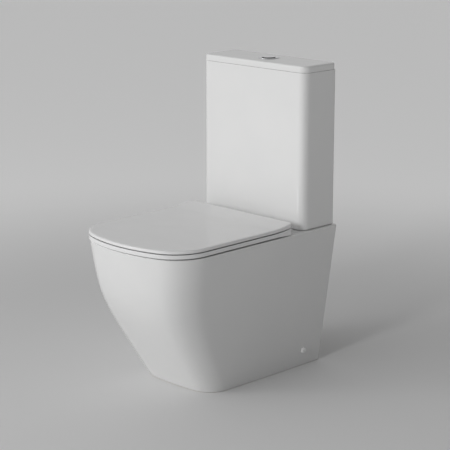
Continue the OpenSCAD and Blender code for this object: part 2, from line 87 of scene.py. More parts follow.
def revolve(name, profile, n=96, centre=(0, 0, 0), axis="Z"):
    """A closed profile of (radius, height) turned round an axis; radius 0 ends are poles."""
    rings = []
    t = np.linspace(0, 2*math.pi, n, endpoint=False)
    for r, z in profile:
        rings.append(np.stack([r*np.cos(t), r*np.sin(t), np.full(n, z)], 1))
    poles = profile[0][0] == 0 and profile[-1][0] == 0
    if poles:
        inner = rings[1:-1]
        V = np.concatenate(inner + [[[0, 0, profile[0][1]], [0, 0, profile[-1][1]]]])
        m = len(inner); F = []
        for j in range(m - 1):
            for i in range(n):
                k = (i + 1) % n
                F.append((j*n + i, j*n + k, (j + 1)*n + k, (j + 1)*n + i))
        a, b = m*n, m*n + 1
        for i in range(n):
            k = (i + 1) % n
            F.append((a, k, i)); F.append((b, (m - 1)*n + i, (m - 1)*n + k))
    else:
        m = len(rings); V = np.concatenate(rings); F = []
        for j in range(m):
            for i in range(n):
                k = (i + 1) % n; q = (j + 1) % m
                F.append((j*n + i, j*n + k, q*n + k, q*n + i))
    if axis == "X":
        V = V[:, [2, 0, 1]]
    elif axis == "Y":
        V = V[:, [1, 2, 0]]
    V = V + np.asarray(centre, float)
    ob = make(name, V, F)
    bm = bmesh.new(); bm.from_mesh(ob.data)
    bmesh.ops.recalc_face_normals(bm, faces=bm.faces)
    bm.to_mesh(ob.data); bm.free()
    return ob


def arc(cx, cy, r, a0, a1, n):
    return [(cx + r*math.cos(math.radians(a)), cy + r*math.sin(math.radians(a)))
            for a in np.linspace(a0, a1, n)]


def rod(name, r, p, q, n=64, ch=0.0):
    """A straight rod from p to q with a small rounded end edge."""
    p, q = np.asarray(p, float), np.asarray(q, float)
    L = np.linalg.norm(q - p)
    prof = [(0, 0)] + ([(r - ch, 0), (r - 0.3*ch, 0.3*ch), (r, ch), (r, L - ch), (r - 0.3*ch, L - 0.3*ch), (r - ch, L)]
                       if ch else [(r, 0), (r, L)]) + [(0, L)]
    ob = revolve(name, prof, n)
    z = Vector(((q - p)/L).tolist())
    M = Matrix.Translation(Vector((p*MM).tolist())) @ z.to_track_quat("Z", "Y").to_matrix().to_4x4()
    ob.data.transform(M)
    return ob


def rbox(name, lo, hi, r=2.0, seg=4):
    """A box with round edges."""
    lo, hi = np.asarray(lo, float), np.asarray(hi, float)
    bm = bmesh.new()
    bmesh.ops.create_cube(bm, size=1.0)
    for v in bm.verts:
        v.co = Vector(((lo + hi)/2 + (hi - lo)*np.array(v.co))*MM)
    if r > 0:
        bmesh.ops.bevel(bm, geom=bm.edges[:], offset=r*MM, segments=seg, profile=0.5, affect="EDGES")
    me = bpy.data.meshes.new(name); bm.to_mesh(me); bm.free()
    ob = bpy.data.objects.new(name, me)
    scene.collection.objects.link(ob)
    return ob


def boolean(ob, other, op, solver="MANIFOLD"):
    m = ob.modifiers.new("b", "BOOLEAN")
    m.operation = op; m.object = other
    try:
        m.solver = solver
    except TypeError:
        m.solver = "EXACT"
    dg = bpy.context.evaluated_depsgraph_get()
    me = bpy.data.meshes.new_from_object(ob.evaluated_get(dg))
    ob.modifiers.clear()
    if len(me.polygons) == 0 and solver != "EXACT":
        bpy.data.meshes.remove(me)
        return boolean(ob, other, op, "EXACT")
    old = ob.data; ob.data = me; me.name = ob.name
    bpy.data.meshes.remove(old)
    bpy.data.objects.remove(other)
    return ob


def add(ob, *others):
    for o in others:
        boolean(ob, o, "UNION")
    return ob


def cut(ob, *others):
    for o in others:
        boolean(ob, o, "DIFFERENCE")
    return ob


def dress(ob, angle=34, weighted=True):
    """Smooth shading with the real creases kept sharp."""
    bm = bmesh.new(); bm.from_mesh(ob.data)
    bmesh.ops.remove_doubles(bm, verts=bm.verts, dist=1e-6)
    bmesh.ops.dissolve_degenerate(bm, edges=bm.edges, dist=1e-6)
    for f in bm.faces:
        f.smooth = True
    lim = math.radians(angle)
    for e in bm.edges:
        e.smooth = not (len(e.link_faces) == 2 and e.calc_face_angle(0.0) > lim)
    bm.to_mesh(ob.data); bm.free()
    if weighted:
        m = ob.modifiers.new("wn", "WEIGHTED_NORMAL")
        m.mode = "FACE_AREA"; m.weight = 80; m.keep_sharp = True
        dg = bpy.context.evaluated_depsgraph_get()
        me = bpy.data.meshes.new_from_object(ob.evaluated_get(dg))
        ob.modifiers.clear()
        old = ob.data; ob.data = me; me.name = ob.name
        bpy.data.meshes.remove(old)
    return ob


# ------------------------------------------------------------------ laws of the object, in millimetres
YB, YF, RIM, TOP = 308.0, -308.0, 400.0, 840.0
CIS_Y, CIS_F, HW = 244.1, 180.2, 189.4
HY, HZ, SB = 150.0, 417.0, 138.0


def pan_wb(z): return 139.6 + 59.0*z/400
def pan_wf(z): return pan_wb(z) - 4.6 + 3*z/400
def pan_front(z): return 308 - 427 - 0.65*z + 16.16*math.log(1 + math.exp((z - 250)/32))
def pan_r(z): return 62 + 43*z/400
def pan_R(z): return 1/(1/700 + (1/400 - 1/700)*z/400)


def half(wb, wf, y0, ys, r, R, sigma=7.0, n=110):
    """Right half of an outline from (wb, ys) to the front middle, evenly spaced and faired."""
    phi = math.asin((wf - r)/(R - r))
    cy = y0 + R - math.sqrt((R - r)**2 - (wf - r)**2)
    s = np.linspace(0, 1, 160)
    side = np.stack([wb + (wf - wb)*s**3, ys + (cy - ys)*s], 1)
    a = np.radians(np.linspace(0, -(90 - math.degrees(phi)), 120))[1:]
    cor = np.stack([wf - r + r*np.cos(a), cy + r*np.sin(a)], 1)
    p = np.linspace(phi, 0, 90)[1:]
    fro = np.stack([R*np.sin(p), y0 + R - R*np.cos(p)], 1)
    P = np.concatenate([side, cor, fro])
    d = np.concatenate([[0], np.cumsum(np.linalg.norm(np.diff(P, axis=0), axis=1))])
    m = 700; u = np.linspace(0, d[-1], m); step = u[1]
    Q = np.stack([np.interp(u, d, P[:, 0]), np.interp(u, d, P[:, 1])], 1)
    pad = int(4*sigma/step) + 2
    k = np.arange(-pad, pad + 1); g = np.exp(-0.5*(k*step/sigma)**2); g /= g.sum()
    mir = Q[-2:-2 - pad:-1]*np.array([-1, 1])
    t0 = Q[0] - Q[1]
    ext = Q[0] + t0*np.arange(pad, 0, -1)[:, None]
    E = np.concatenate([ext, Q, mir])
    S = np.stack([np.convolve(E[:, 0], g, "valid"), np.convolve(E[:, 1], g, "valid")], 1)
    S[-1, 0] = 0.0
    v = np.linspace(0, m - 1, n)
    return np.stack([np.interp(v, np.arange(m), S[:, 0]), np.interp(v, np.arange(m), S[:, 1])], 1)


def ring_from(h):
    """Full counterclockwise ring from the right half (back to front middle)."""
    left = h*np.array([-1, 1])
    return np.concatenate([left, h[-2::-1]])


def corner(cx, cy, r, a0, a1, n=7):
    a = np.radians(np.linspace(a0, a1, n))
    return np.stack([cx + r*np.cos(a), cy + r*np.sin(a)], 1)


def at_z(xy, z):
    z = np.full(len(xy), z) if np.isscalar(z) else z
    return np.column_stack([xy, z])


def pan_outline(z, inset, rc=4.0, n=110):
    wb, wf = pan_wb(z) - inset, pan_wf(z) - inset
    y1 = YB
    rc = max(rc, 0.5)
    h = half(wb, wf, pan_front(z) + inset, y1 - rc, pan_r(z) - inset, pan_R(z) - inset, n=n)
    c = corner(wb - rc, y1 - rc, rc, 90, 0, 7)[:-1]
    return ring_from(np.concatenate([c, h]))


def fillet(z0, z1, r, up, n=7):
    """(z, inset) pairs of a quarter round that ends flat at z1."""
    out = []
    for k in range(n):
        a = math.radians(90*k/(n - 1))
        out.append((z0 + (z1 - z0)*math.sin(a), r*(1 - math.cos(a))))
    return out if up else out[::-1]


BOWL = np.array([[118, 20, 20, 16], [130, 38, 40, 12], [155, 50, 55, 2], [190, 66, 74, -15], [225, 84, 97, -33],
                 [260, 106, 124, -50], [300, 128, 152, -66], [340, 142, 171, -76], [375, 149, 181, -80],
                 [402, 150, 182, -80]], float)


def pchip(x, y, q):
    """Monotone cubic through the points."""
    x, y, q = map(np.asarray, (x, y, q))
    h = np.diff(x); d = np.diff(y)/h
    m = np.zeros(len(x)); m[0], m[-1] = d[0], d[-1]
    for i in range(1, len(x) - 1):
        if d[i - 1]*d[i] > 0:
            w1, w2 = 2*h[i] + h[i - 1], h[i] + 2*h[i - 1]
            m[i] = (w1 + w2)/(w1/d[i - 1] + w2/d[i])
    i = np.clip(np.searchsorted(x, q) - 1, 0, len(h) - 1)
    t = (q - x[i])/h[i]
    return (y[i]*(1 + 2*t)*(1 - t)**2 + h[i]*m[i]*t*(1 - t)**2
            + y[i + 1]*t*t*(3 - 2*t) + h[i]*m[i + 1]*t*t*(t - 1))


def superellipse(a, b, yc, n=120, p=2.5):
    t = np.linspace(0, 2*math.pi, n, endpoint=False)
    q = 2/p
    return np.stack([a*np.sign(np.cos(t))*np.abs(np.cos(t))**q, yc + b*np.sign(np.sin(t))*np.abs(np.sin(t))**q], 1)


def bowl_ring(z, off, zo=None, n=120):
    a, b, yc = (float(pchip(BOWL[:, 0], BOWL[:, k], z)) for k in (1, 2, 3))
    return at_z(superellipse(a + off, b + off, yc, n), z if zo is None else zo)


TRAP = np.array([[22, 150], [50, 148], [80, 156], [104, 176], [124, 204], [144, 232], [168, 247], [194, 238],
                 [214, 212], [230, 190], [244, 181]], float)


def trap_path(y_end, m=64):
    P = np.concatenate([TRAP, [[258.0, 180.0]], [[y_end, 180.0]]] if y_end > 258 else [TRAP, [[y_end, 180.0]]])
    d = np.concatenate([[0], np.cumsum(np.linalg.norm(np.diff(P, axis=0), axis=1))])
    u = np.linspace(0, d[-1], m)
    # Catmull-Rom
    T = np.gradient(P, d, axis=0)
    i = np.clip(np.searchsorted(d, u) - 1, 0, len(d) - 2)
    h = (d[i + 1] - d[i])[:, None]; t = ((u - d[i])[:, None])/h
    return (P[i]*(1 + 2*t)*(1 - t)**2 + h*T[i]*t*(1 - t)**2 + P[i + 1]*t*t*(3 - 2*t) + h*T[i + 1]*t*t*(t - 1))


def trap_tube(name, r, y_end, n=40):
    P = trap_path(y_end); D = np.gradient(P, axis=0); D /= np.linalg.norm(D, axis=1)[:, None]
    t = np.linspace(0, 2*math.pi, n, endpoint=False)
    rings = [np.column_stack([r*np.cos(t), p[0] - d[1]*r*np.sin(t), p[1] + d[0]*r*np.sin(t)]) for p, d in zip(P, D)]
    return loft(name, rings)


# ------------------------------------------------------------------ china pan
def build_pan():
    lv = fillet(2.2, 0, 1.9, True, 5)[::-1]                       # foot edge
    zs = list(np.arange(11, 395, 8.0))
    levels = [(z, i) for z, i in lv] + [(z, 0.0) for z in zs] + fillet(397, 400, 3.0, True, 6)
    pan = loft("china_pan", [at_z(pan_outline(z, i), z) for z, i in levels])
    # hollow skirt: open underneath and at the back, every edge rounded
    def cav(z, t):
        wb, wf = pan_wb(z) - t, pan_wf(z) - t
        ys = YB - 4.0
        h = half(wb, wf, pan_front(z) + t, ys, pan_r(z) - t, pan_R(z) - t, n=90)
        fl = corner(wb + 4, ys, 4.0, 90, 180, 6)[:-1]
        h = np.concatenate([[[wb + 4, YB + 20]], fl, h])
        return ring_from(h)
    cl = [(-2.0, 0.0, 10.0)] + [(z, z, 14 - 4 + math.sqrt(max(0, 16 - (4 - z)**2))) for z in (0.0, 0.6, 1.6, 2.8, 4.0)]
    cl += [(z, z, 14.0) for z in np.arange(14, 362, 12.0)]
    cl += [(z, z, 14 + 12 - math.sqrt(max(0, 144 - (z - 366)**2))) for z in (366, 370, 373.5, 376, 377.6)]
    cl += [(378.0, 378.0, 26.0)]
    cut(pan, loft("cavity", [at_z(cav(zl, t), zo) for zo, zl, t in cl]))
    # bowl, trapway, outlet and flush duct
    zz = [107, 110, 114] + list(np.arange(120, 394, 9.0)) + [394]
    outer = loft("bowl_out", [bowl_ring(max(118, z + 3) if z > 118 else 118, 11 - max(0, 114 - z)*0.6, z, 96) for z in zz])
    add(pan, outer, trap_tube("trap_out", 37, 254))
    add(pan, revolve("spigot", [(0, 246), (49, 246), (51, 248)] + [(51, 297)] + arc(49.0, 298, 2, 0, 90, 5) + [(0, 300)], 96,
                     (0, 0, 180), "Y"))
    add(pan, rbox("duct", (-46, 96, 330), (46, 292, 386), 9, 5))
    # bowl void with a broad round edge at the deck
    R = 9.0
    vz = list(np.arange(118, 388, 6.0)) + [RIM - R]
    rings = [bowl_ring(118, -6, 116.5), bowl_ring(118, -2, 117.1)] + [bowl_ring(z, 0) for z in vz]
    rings += [bowl_ring(min(402, RIM - R + R*math.sin(a)), R*(1 - math.cos(a))) for a in np.radians([15, 30, 45, 60, 75, 90])]
    rings += [bowl_ring(402, R, RIM + 4)]
    cut(pan, loft("bowl_void", rings), trap_tube("trap_in", 26, 266))
    cut(pan, revolve("spigot_bore", [(0, 257)] + arc(38, 261, 4, 270, 360, 5) + [(42, 297)] + arc(44.5, 297.5, 2.5, 180, 90, 4)
                     + [(44.5, 320), (0, 320)], 96, (0, 0, 180), "Y"))
    cut(pan, rbox("duct_in", (-35, 84, 341), (35, 281, 378.5), 6, 4))
    cut(pan, rod("h1", 31, (0, CIS_Y, 360), (0, CIS_Y, 402)), rod("h2", 48, (0, CIS_Y, 386), (0, CIS_Y, 402)))
    tilt = math.atan(59/400)
    for s in (-1, 1):
        cut(pan, rod("h", 6.5, (s*75, CIS_Y, 370), (s*75, CIS_Y, 405)), rod("h", 7.5, (s*77.5, HY, 370), (s*77.5, HY, 405)))
        c = np.array([s*pan_wb(46.6), 234.5, 46.6]); d = np.array([s*math.cos(tilt), 0, -math.sin(tilt)])
        cut(pan, rod("h", 7, c - 24*d, c + 12*d))
    cut(pan, rod("h", 23, (-130, CIS_Y, 370), (-130, CIS_Y, 405)))
    return pan


# ------------------------------------------------------------------ china cistern
def rrect(w, y0, y1, rf, rb, n=12, m=10):
    """Rounded rectangle, counterclockwise: left back, left front, right front, right back."""
    pts = []
    for cx, cy, r, a0 in ((-w + rb, y1 - rb, rb, 90), (-w + rf, y0 + rf, rf, 180), (w - rf, y0 + rf, rf, 270), (w - rb, y1 - rb, rb, 0)):
        pts.append(corner(cx, cy, r, a0, a0 + 90, n + 1))
    out = []
    for k in range(4):
        out.append(pts[k])
        a, b = pts[k][-1], pts[(k + 1) % 4][0]
        t = np.linspace(0, 1, m + 1)[1:-1, None]
        out.append(a + (b - a)*t)
    return np.concatenate(out)


def cis_ring(i, z, rf=22.0, rb=12.0):
    return at_z(rrect(HW - i, CIS_F + i, YB - i, max(rf - i, 1), max(rb - i, 1)), z)


def build_tank():
    lv = [(400.0, 5.0), (401.5, 5.0), (401.7, 1.4), (402.1, 0.6), (402.8, 0.1), (403.8, 0.0)]      # shadow line at the foot
    lv += [(z, 0.0) for z in np.linspace(420, 800, 12)] + fillet(820.8, 822, 1.2, True, 5)
    tank = loft("china_cistern", [cis_ring(i, z) for z, i in lv])
    inner = [(426.0, 21.0)] + [(426 + 12*(1 - math.cos(a)), 9 + 12*(1 - math.sin(a))) for a in np.radians([22, 45, 67, 90])]
    inner += [(z, 9.0) for z in np.linspace(460, 800, 8)]
    inner += [(819.5 + 2.5*math.sin(a), 9 - 2.5*(1 - math.cos(a))) for a in np.radians([0, 30, 60, 90])] + [(826.0, 6.5)]
    cut(tank, loft("void", [cis_ring(i, z) for z, i in inner]))
    under = [(398.0, 6.5)] + [(402.5 - 2.5*math.sin(a), 9 - 2.5*(1 - math.cos(a))) for a in np.radians([90, 60, 30, 0])]
    under += [(408.0, 9.0)] + [(408 + 8*math.sin(a), 9 + 8*(1 - math.cos(a))) for a in np.radians([30, 60, 90])]
    cut(tank, loft("under", [cis_ring(i, z) for z, i in under]))
    cut(tank, rod("h", 31.5, (0, CIS_Y, 410), (0, CIS_Y, 430)), rod("h", 11.5, (-130, CIS_Y, 410), (-130, CIS_Y, 430)))
    for s in (-1, 1):
        cut(tank, rod("h", 5, (s*75, CIS_Y, 410), (s*75, CIS_Y, 430)))
    return tank


def build_cistern_lid():
    lv = [(822.5, 0.7), (822.65, 0.25), (823.0, 0.0), (825.0, 0.0), (830.0, 0.0)] + fillet(835.0, 840, 4.8, True, 8)
    lid = loft("china_cistern_lid", [cis_ring(i, z, 22, 18) for z, i in lv])
    po = [(820.0, 8.6), (822.7, 9.2), (824.6, 10.0), (828.0, 10.0), (829.6, 10.8), (830.5, 13.0)]
    cut(lid, loft("pocket", [cis_ring(i, z, 22, 18) for z, i in po]))
    for s in (-1, 1):
        add(lid, rbox("rib", (s*175 - 3, CIS_Y - 40, 812), (s*175 + 3, CIS_Y + 40, 833), 1.4, 3))
    cut(lid, rod("h", 20, (0, CIS_Y, 815), (0, CIS_Y, 850)))
    return lid


# ------------------------------------------------------------------ seat
def rise(y): return np.clip((y - SB + 75)/75, 0, 1)**1.75


def seat_outline(i, n=120):
    rc = max(14.0 - i, 3.0)
    h = half(195.5 - i, 195.5 - i, YF + i, SB - i - rc, 108 - i, 400 - i, sigma=5.0, n=n)
    c = corner(195.5 - i - rc, SB - i - rc, rc, 90, 0, 9)[:-1]
    return ring_from(np.concatenate([c, h]))


def sweep(xy, z, up, dn=0.0):
    y = xy[:, 1]
    return at_z(xy, z + up*rise(y) - dn*np.clip((y - SB + 55)/35, 0, 1))


def cap_grid(V, F, idx, ncol=24, crown=0.0, zfun=None):
    """Closes a left-right symmetric ring with quads across x, following its own height."""
    n = len(idx); rows = n//2
    cols = []
    for k in range(rows):
        L, R_ = V[idx[k]], V[idx[n - 1 - k]]
        row = [idx[k]]
        for j in range(1, ncol):
            t = j/ncol
            p = np.array(L)*(1 - t) + np.array(R_)*t
            if zfun is not None:
                p[2] += zfun(p[0], p[1])
            V.append(p); row.append(len(V) - 1)
        row.append(idx[n - 1 - k]); cols.append(row)
    for k in range(rows - 1):
        for j in range(ncol):
            F.append((cols[k][j], cols[k][j + 1], cols[k + 1][j + 1], cols[k + 1][j]))
    if n % 2:
        mid = idx[rows]
        for j in range(ncol):
            F.append((cols[-1][j], cols[-1][j + 1], mid))
    return cols[0][1:-1]


def shell(name, rings, zfun_bottom=None, zfun_top=None, ncol=24):
    n = len(rings[0]); V = [p for r in rings for p in r]; F = []
    for j in range(len(rings) - 1):
        for i in range(n):
            k = (i + 1) % n
            F.append((j*n + i, j*n + k, (j + 1)*n + k, (j + 1)*n + i))
    low = cap_grid(V, F, list(range(n)), ncol, zfun=zfun_bottom)
    m = (len(rings) - 1)*n
    high = cap_grid(V, F, list(range(m, m + n)), ncol, zfun=zfun_top)
    # the back edge's long quads take in the points of the grids' first rows
    lo, hi = (n - 1, 0, n, 2*n - 1), (m - 1, m - n, m, m + n - 1)
    F[F.index(lo)] = (n - 1, *low[::-1], 0, n, 2*n - 1)
    F[F.index(hi)] = (m - 1, m - n, m, *high, m + n - 1)
    ob = make(name, V, F)
    bm = bmesh.new(); bm.from_mesh(ob.data)
    bmesh.ops.recalc_face_normals(bm, faces=bm.faces)
    bm.to_mesh(ob.data); bm.free()
    return ob


def barrel(name, x0, x1, r, ch=1.2):
    return rod(name, r, (x0, HY, HZ), (x1, HY, HZ), 64, ch)


def build_seat_lid():
    # z above the floor, inset, rise at the back, for the rounded edge from below to the top
    # the underside is hollow behind a thin lip
    L = [(419.6, 24.0, 6.4), (419.6, 8.0, 6.4), (419.2, 5.6, 6.4), (418.2, 4.4, 6.4), (416.8, 4.0, 6.4), (416.4, 3.7, 6.4),
         (416.6, 3.2, 6.4), (416.6, 0.7, 6.4), (416.7, 0.25, 6.42), (416.95, 0.03, 6.45), (417.5, 0.0, 6.6)]
    top = [(420.6, 0.0, 7.8), (421.6, 0.15, 8.1), (422.6, 0.6, 8.5), (423.5, 1.3, 8.9), (424.2, 2.3, 9.2), (424.7, 3.6, 9.4),
           (424.95, 5.4, 9.5), (425.0, 9.0, 9.5)]
    rings = [sweep(seat_outline(i), z, up) for z, i, up in L + top]
    lid = shell("soft_close_lid", rings, ncol=26)
    for s in (-1, 1):
        for x, y in ((150, -214), (157, 30)):
            add(lid, rod("boss", 7.5, (s*x, y, 416.2), (s*x, y, 421.5), 40, 0.4))
        add(lid, rbox("web", (s*50 - 16, SB - 6, 423.0), (s*50 + 16, SB + 9.5, 428.0), 1.0, 3), barrel("brl", s*50 - 16, s*50 + 16, 10))
        cut(lid, rbox("notch", (s*77.5 - 11, SB - 9, 398), (s*77.5 + 11, SB + 21, 428.6), 1.5, 3))
        cut(lid, barrel("bore", *(sorted((s*20, s*80))), 4.06, 0))
    cut(lid, barrel("bore", 33, 67, 7, 0))
    return lid


def build_seat_ring():
    yc = -85.0
    out = seat_outline(0.0, 120)
    ang = np.arctan2(out[:, 1] - yc, out[:, 0])

    def inner(off):
        a, b, p = 118.0 + off, 147.0 + off, 2.5
        c, s = np.cos(ang), np.sin(ang)
        r = (np.abs(c/a)**p + np.abs(s/b)**p)**(-1/p)
        return np.stack([r*c, yc + r*s], 1)
    sec = []
    O = [(407.4, 8.0, 0.0, 2.2), (406.8, 5.4, 0.0, 2.2), (404.9, 4.6, 0.0, 2.2), (403.7, 4.2, 0.0, 2.2), (403.4, 3.6, 0.0, 2.2),
         (403.4, 0.7, 0.0, 2.2), (403.5, 0.25, 0.1, 2.15), (403.7, 0.03, 0.2, 2.1), (404.2, 0.0, 0.4, 2.0), (408.0, 0.0, 2.6, 1.2),
         (413.1, 0.0, 5.8, 0.3), (413.5, 0.06, 6.0, 0.15), (413.8, 0.3, 6.1, 0.05), (413.9, 0.8, 6.2, 0), (413.8, 1.6, 6.2, 0),
         (413.0, 3.4, 6.2, 0), (411.9, 6.0, 6.2, 0), (411.5, 9.0, 6.2, 0), (411.9, 12.5, 6.2, 0), (412.9, 16.0, 6.2, 0)]
    for z, i, up, dn in O:
        sec.append(sweep(seat_outline(i, 120), z, up, dn))
    A, B = seat_outline(20.0, 120), inner(22.0)
    for t in (0.0, 0.2, 0.4, 0.6, 0.8, 1.0):
        xy = A*(1 - t) + B*t
        sec.append(sweep(xy, 413.7 - 0.4*t, 6.2*(1 - t)))
    for z, off in ((412.9, 16.0), (412.2, 10.5), (411.2, 6.0), (409.9, 2.8), (408.2, 0.9), (406.4, 0.1), (405.0, 0.0), (404.0, 0.5), (403.5, 2.0),
                   (403.5, 4.6), (404.4, 5.6), (406.6, 6.6)):
        sec.append(at_z(inner(off), z))
    A2 = seat_outline(8.0, 120)
    B2 = inner(9.0)
    for t in (0.0, 0.35, 0.7):
        xy = B2*(1 - t) + A2*t
        sec.append(sweep(xy, 407.4, 0.0, 2.2*t))
    ring = loft("soft_close_ring", sec, closed=True)
    for s in (-1, 1):
        for x, y in ((122, -222), (152, 20)):
            add(ring, rod("boss", 10.0, (s*x, y, 403.5), (s*x, y, 409.0), 40, 0.4))
        add(ring, rbox("web", (s*105 - 16, SB - 7, 408), (s*105 + 16, SB + 12, 418), 1.0, 3), barrel("brl", s*105 - 16, s*105 + 16, 10))
        cut(ring, rbox("notch", (s*77.5 - 11, SB - 9, 396), (s*77.5 + 11, SB + 21, 438), 1.5, 3))
        cut(ring, barrel("bore", *(sorted((s*80, s*130))), 4.06, 0))
    cut(ring, barrel("bore", -122, -88, 7, 0))
    return ring


# ------------------------------------------------------------------ flush buttons
def build_bezel():
    c = (0, CIS_Y, TOP)
    prof = ([(19.8, -34), (19.8, 0.0), (28.7, 0.0)] + arc(28.3, 0.7, 0.7, -60, 20, 5) + arc(25.6, -1.4, 3.4, 32, 86, 8)
            + [(23.5, 1.75), (20.6, 0.95), (19.4, 0.72)] + arc(19.1, 0.1, 0.6, 80, 180, 6) + [(18.45, -2.0), (18.4, -20), (3.1, -20), (3.1, -21.5), (16, -21.5), (16, -34)])
    return revolve("flush_bezel", prof, 128, c)


def build_button(name, x0, x1):
    c = (0, CIS_Y, TOP)
    # the two halves stand up as a raised disc
    prof = [(0, -7), (18.0, -7), (18.1, -6.6), (18.1, 0.3), (17.9, 2.6)] + arc(17.3, 2.7, 0.6, 8, 85, 6) + [(16.0, 3.3), (10, 3.3), (5, 3.26), (0, 3.25)]
    b = revolve(name, prof, 128, c)
    keep = rbox("k", (x0, CIS_Y - 30, TOP - 20), (x1, CIS_Y + 30, TOP + 8), 0.55, 3)
    boolean(b, keep, "INTERSECT")
    return b


def build_cap(s):
    tilt = math.atan(59/400)
    # a dome with a small dimple in the middle
    P = [(0, 4.2), (6.9, 4.2), (7.6, 3.4), (7.9, 0.1), (8.45, 0.1), (8.6, 0.4), (8.55, 2.0), (8.4, 3.6)]
    P += [(5.0 + 3.3*math.sin(t), 3.8 + 3.1*math.cos(t)) for t in np.radians(np.linspace(80, 0, 10))]
    P += [(3.4, 6.96), (2.4, 6.9), (1.9, 6.6), (1.5, 6.1), (1.0, 5.9), (0, 5.85)]
    ob = revolve("screw_cap_%s" % ("right" if s > 0 else "left"), P, 72)
    M = (Matrix.Translation(Vector((s*pan_wb(46.6)*MM, 234.5*MM, 46.6*MM)))
         @ Vector((s*math.cos(tilt), 0, -math.sin(tilt))).to_track_quat("Z", "Y").to_matrix().to_4x4())
    ob.data.transform(M)
    return ob


# ------------------------------------------------------------------ materials
def mat(name, color, rough, metallic=0.0, ior=1.5, coat=0.0):
    m = bpy.data.materials.new(name); m.use_nodes = True
    nt = m.node_tree; b = nt.nodes["Principled BSDF"]
    b.inputs["Base Color"].default_value = (*color, 1)
    b.inputs["Roughness"].default_value = rough
    b.inputs["Metallic"].default_value = metallic
    b.inputs["IOR"].default_value = ior
    b.inputs["Coat Weight"].default_value = coat
    b.inputs["Coat Roughness"].default_value = 0.05
    return m, nt, b


def noise(nt, scale, detail=2.0, rough=0.5, coord=None, stretch=None):
    tc = coord or nt.nodes.new("ShaderNodeTexCoord")
    src = tc.outputs["Object"]
    if stretch:
        mp = nt.nodes.new("ShaderNodeMapping"); mp.inputs["Scale"].default_value = stretch
        nt.links.new(src, mp.inputs["Vector"]); src = mp.outputs["Vector"]
    n = nt.nodes.new("ShaderNodeTexNoise")
    n.inputs["Scale"].default_value = scale
    n.inputs["Detail"].default_value = detail
    n.inputs["Roughness"].default_value = rough
    nt.links.new(src, n.inputs["Vector"])
    return n.outputs["Fac"]


def rng(nt, src, lo, hi, a=0.3, b=0.7):
    r = nt.nodes.new("ShaderNodeMapRange")
    r.inputs["From Min"].default_value = a; r.inputs["From Max"].default_value = b
    r.inputs["To Min"].default_value = lo; r.inputs["To Max"].default_value = hi
    nt.links.new(src, r.inputs["Value"])
    return r.outputs["Result"]


def tint(nt, b, src, c0, c1, a=0.3, z=0.7):
    r = nt.nodes.new("ShaderNodeValToRGB")
    r.color_ramp.elements[0].position = a; r.color_ramp.elements[0].color = (*c0, 1)
    r.color_ramp.elements[1].position = z; r.color_ramp.elements[1].color = (*c1, 1)
    nt.links.new(src, r.inputs["Fac"])
    nt.links.new(r.outputs["Color"], b.inputs["Base Color"])


def bump(nt, b, src, strength, distance, prev=None):
    k = nt.nodes.new("ShaderNodeBump")
    k.inputs["Strength"].default_value = strength
    k.inputs["Distance"].default_value = distance
    nt.links.new(src, k.inputs["Height"])
    if prev is not None:
        nt.links.new(prev, k.inputs["Normal"])
    nt.links.new(k.outputs["Normal"], b.inputs["Normal"])
    return k.outputs["Normal"]


def glaze():
    m, nt, b = mat("china_glaze", (0.8, 0.8, 0.795), 0.07, ior=1.52)
    tint(nt, b, noise(nt, 7, 3), (0.792, 0.794, 0.792), (0.812, 0.812, 0.808))
    nt.links.new(rng(nt, noise(nt, 16, 4), 0.05, 0.10), b.inputs["Roughness"])
    p = bump(nt, b, noise(nt, 9, 1.5), 0.35, 0.0012)
    bump(nt, b, noise(nt, 240, 1), 0.05, 0.0002, p)
    return m


def biscuit():
    m, nt, b = mat("china_unglazed", (0.72, 0.70, 0.66), 0.75)
    tint(nt, b, noise(nt, 30, 6), (0.66, 0.64, 0.60), (0.76, 0.745, 0.71))
    nt.links.new(rng(nt, noise(nt, 60, 4), 0.6, 0.88), b.inputs["Roughness"])
    p = bump(nt, b, noise(nt, 500, 3), 0.25, 0.0004)
    bump(nt, b, noise(nt, 18, 2), 0.3, 0.001, p)
    return m


def plastic(name, c, r0, r1, grain=0.06, grain_scale=900, ior=1.47, wave=0.0):
    m, nt, b = mat(name, c, r0, ior=ior)
    tint(nt, b, noise(nt, 12, 2), tuple(x*0.99 for x in c), tuple(min(1, x*1.01) for x in c))
    nt.links.new(rng(nt, noise(nt, 25, 4), r0, r1), b.inputs["Roughness"])
    p = None
    if wave:
        p = bump(nt, b, noise(nt, 7, 1), wave, 0.001)
    bump(nt, b, noise(nt, grain_scale, 2), grain, 0.0002, p)
    return m


def metal(name, c, r0, r1, grain=0.1, scale=(1, 1, 1), gs=300):
    m, nt, b = mat(name, c, r0, 1.0)
    tint(nt, b, noise(nt, 40, 3), tuple(x*0.96 for x in c), c)
    nt.links.new(rng(nt, noise(nt, 90, 5, stretch=scale), r0, r1), b.inputs["Roughness"])
    bump(nt, b, noise(nt, gs, 3, stretch=scale), grain, 0.0001)
    return m


def rubber():
    m, nt, b = mat("rubber_black", (0.03, 0.03, 0.032), 0.6)
    tint(nt, b, noise(nt, 60, 4), (0.022, 0.022, 0.024), (0.045, 0.045, 0.047))
    nt.links.new(rng(nt, noise(nt, 120, 4), 0.45, 0.75), b.inputs["Roughness"])
    bump(nt, b, noise(nt, 1500, 2), 0.2, 0.0003)
    return m


